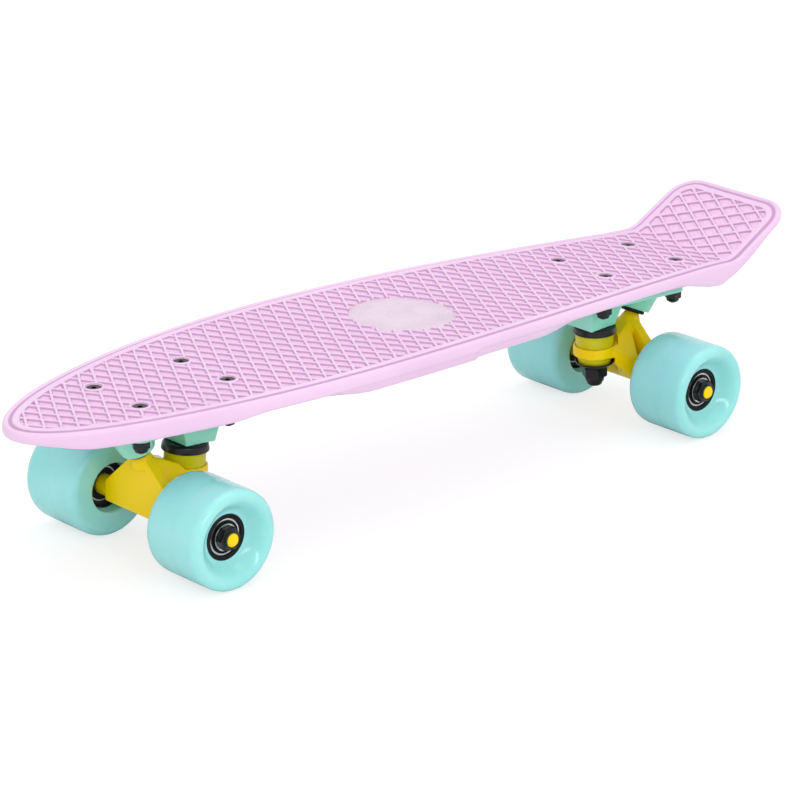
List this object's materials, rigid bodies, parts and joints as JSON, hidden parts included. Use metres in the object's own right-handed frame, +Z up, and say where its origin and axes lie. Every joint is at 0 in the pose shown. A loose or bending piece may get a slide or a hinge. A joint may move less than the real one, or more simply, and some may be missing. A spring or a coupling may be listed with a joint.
{
  "type": "cruiser skateboard",
  "caption": "Small moulded-plastic cruiser skateboard: waffle-topped deck with a kicktail, steering trucks and freely turning wheels.",
  "frame": {"origin": "on the floor that the wheels stand on, below the middle of the board's length and width", "axes": "+X along the board towards the nose, +Y to the board's left side, +Z up"},
  "size_m": [0.5904, 0.154, 0.1261],
  "materials": {
    "deck_plastic": "satin moulded plastic",
    "mint_paint": "gloss paint",
    "yellow_paint": "gloss paint",
    "lime_urethane": "glossy, slightly see-through",
    "aqua_urethane": "glossy, slightly see-through",
    "black_steel": "black oxide",
    "bright_steel": "bright ground steel",
    "black_nylon": "matte"
  },
  "bodies": {
    "board": {"deck": "deck_plastic", "front_mount_bolt_1": "black_steel", "front_mount_nut_1": "black_steel", "front_mount_bolt_2": "black_steel", "front_mount_nut_2": "black_steel", "front_mount_bolt_3": "black_steel", "front_mount_nut_3": "black_steel", "front_mount_bolt_4": "black_steel", "front_mount_nut_4": "black_steel", "front_baseplate": "mint_paint", "front_pivot_cup": "black_nylon", "front_kingpin": "black_steel", "front_kingpin_nut": "black_steel", "front_boardside_washer": "black_steel", "front_boardside_bushing": "lime_urethane", "front_roadside_bushing": "lime_urethane", "front_roadside_washer": "black_steel", "rear_mount_bolt_1": "black_steel", "rear_mount_nut_1": "black_steel", "rear_mount_bolt_2": "black_steel", "rear_mount_nut_2": "black_steel", "rear_mount_bolt_3": "black_steel", "rear_mount_nut_3": "black_steel", "rear_mount_bolt_4": "black_steel", "rear_mount_nut_4": "black_steel", "rear_baseplate": "mint_paint", "rear_pivot_cup": "black_nylon", "rear_kingpin": "black_steel", "rear_kingpin_nut": "black_steel", "rear_boardside_washer": "black_steel", "rear_boardside_bushing": "lime_urethane", "rear_roadside_bushing": "lime_urethane", "rear_roadside_washer": "black_steel"},
    "front_truck": {"front_hanger": "yellow_paint", "front_axle": "yellow_paint", "front_left_speed_washer": "bright_steel", "front_left_axle_nut": "black_steel", "front_right_speed_washer": "bright_steel", "front_right_axle_nut": "black_steel"},
    "front_left_wheel_set": {"front_left_wheel": "aqua_urethane", "front_left_outer_bearing": "bright_steel", "front_left_inner_bearing": "bright_steel"},
    "front_right_wheel_set": {"front_right_wheel": "aqua_urethane", "front_right_outer_bearing": "bright_steel", "front_right_inner_bearing": "bright_steel"},
    "rear_truck": {"rear_hanger": "yellow_paint", "rear_axle": "yellow_paint", "rear_left_speed_washer": "bright_steel", "rear_left_axle_nut": "black_steel", "rear_right_speed_washer": "bright_steel", "rear_right_axle_nut": "black_steel"},
    "rear_left_wheel_set": {"rear_left_wheel": "aqua_urethane", "rear_left_outer_bearing": "bright_steel", "rear_left_inner_bearing": "bright_steel"},
    "rear_right_wheel_set": {"rear_right_wheel": "aqua_urethane", "rear_right_outer_bearing": "bright_steel", "rear_right_inner_bearing": "bright_steel"}
  },
  "joints": [
    {"name": "front_steer", "type": "hinge", "parent": "board", "child": "front_truck", "pos_m": [0.20773, 0, 0.0688], "axis": [0.8353, 0, 0.5498], "range_deg": [-15, 15], "stiffness_Nm_per_rad": 20, "deforming": ["front_boardside_bushing", "front_roadside_bushing"]},
    {"name": "front_left_spin", "type": "hinge", "parent": "front_truck", "child": "front_left_wheel_set", "pos_m": [0.19841, 0.0545, 0.03], "axis": [0, 1, 0], "continuous": true},
    {"name": "front_right_spin", "type": "hinge", "parent": "front_truck", "child": "front_right_wheel_set", "pos_m": [0.19841, -0.0545, 0.03], "axis": [0, 1, 0], "continuous": true},
    {"name": "rear_steer", "type": "hinge", "parent": "board", "child": "rear_truck", "pos_m": [-0.2001, 0, 0.0688], "axis": [-0.8353, 0, 0.5498], "range_deg": [-15, 15], "stiffness_Nm_per_rad": 20, "deforming": ["rear_boardside_bushing", "rear_roadside_bushing"]},
    {"name": "rear_left_spin", "type": "hinge", "parent": "rear_truck", "child": "rear_left_wheel_set", "pos_m": [-0.19077, 0.0545, 0.03], "axis": [0, 1, 0], "continuous": true},
    {"name": "rear_right_spin", "type": "hinge", "parent": "rear_truck", "child": "rear_right_wheel_set", "pos_m": [-0.19077, -0.0545, 0.03], "axis": [0, 1, 0], "continuous": true}
  ]
}
